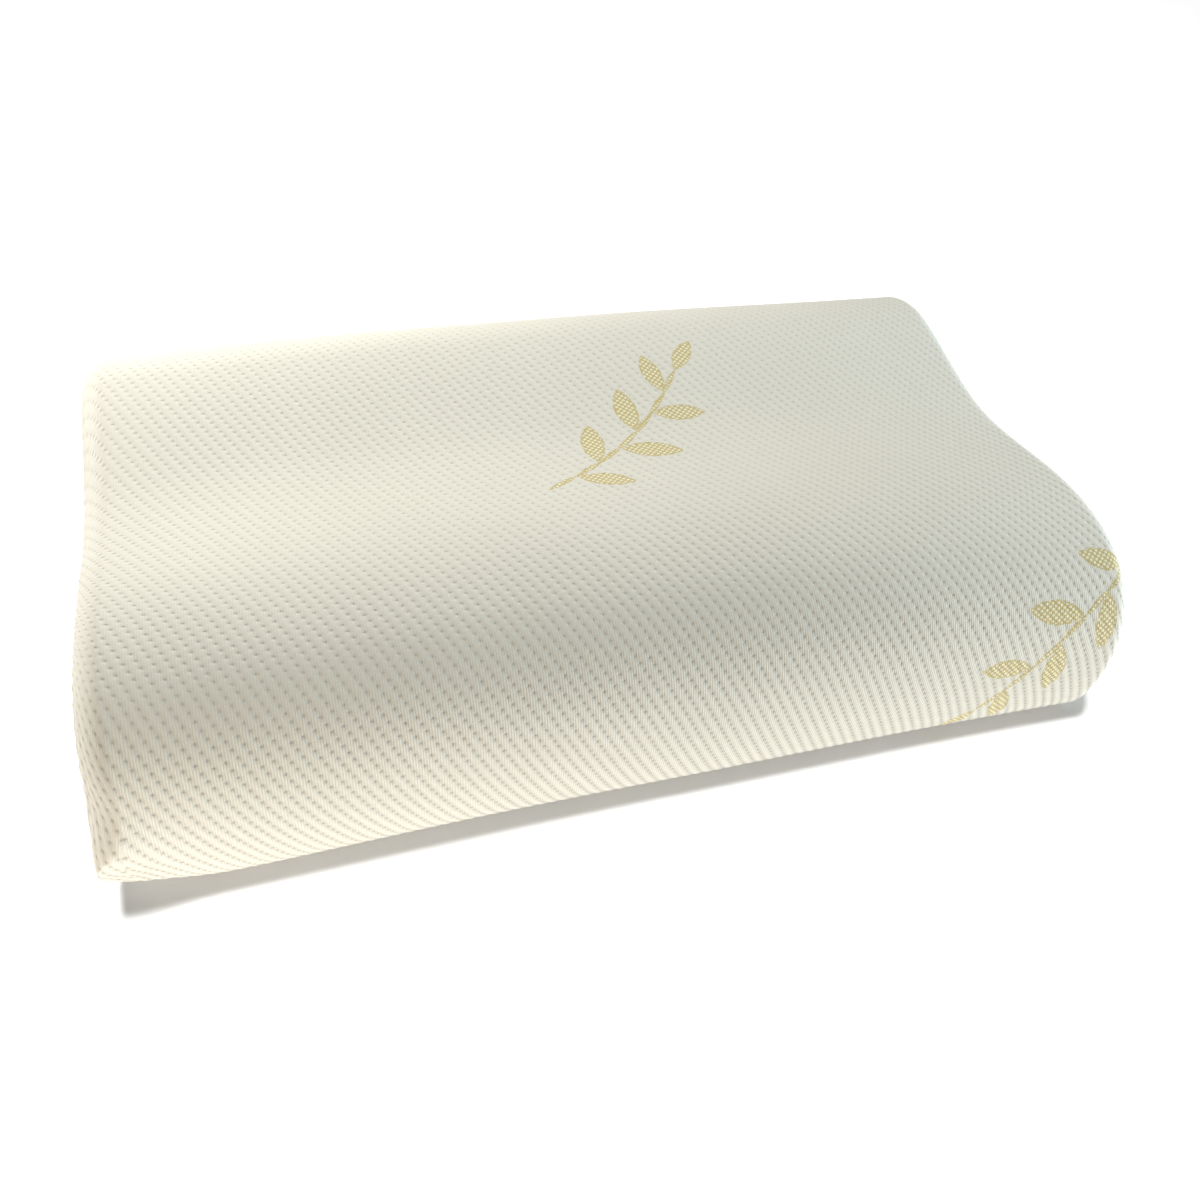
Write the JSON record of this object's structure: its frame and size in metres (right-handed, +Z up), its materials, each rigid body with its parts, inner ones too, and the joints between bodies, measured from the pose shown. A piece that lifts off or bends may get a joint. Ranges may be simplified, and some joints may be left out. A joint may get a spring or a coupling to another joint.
{
  "type": "contour pillow",
  "caption": "Wave-shaped foam pillow in a fitted knitted cover: a high roll, a shallow dip and a low roll, for the neck or knees.",
  "frame": {"origin": "centre of the flat underside, on the surface that the pillow lies on", "axes": "+X along the length of the rolls, -Y towards the high front roll, +Z up"},
  "size_m": [0.5, 0.3, 0.1005],
  "materials": {
    "cream_knit": "matte"
  },
  "bodies": {
    "root": {"pillow": "cream_knit"}
  },
  "joints": []
}
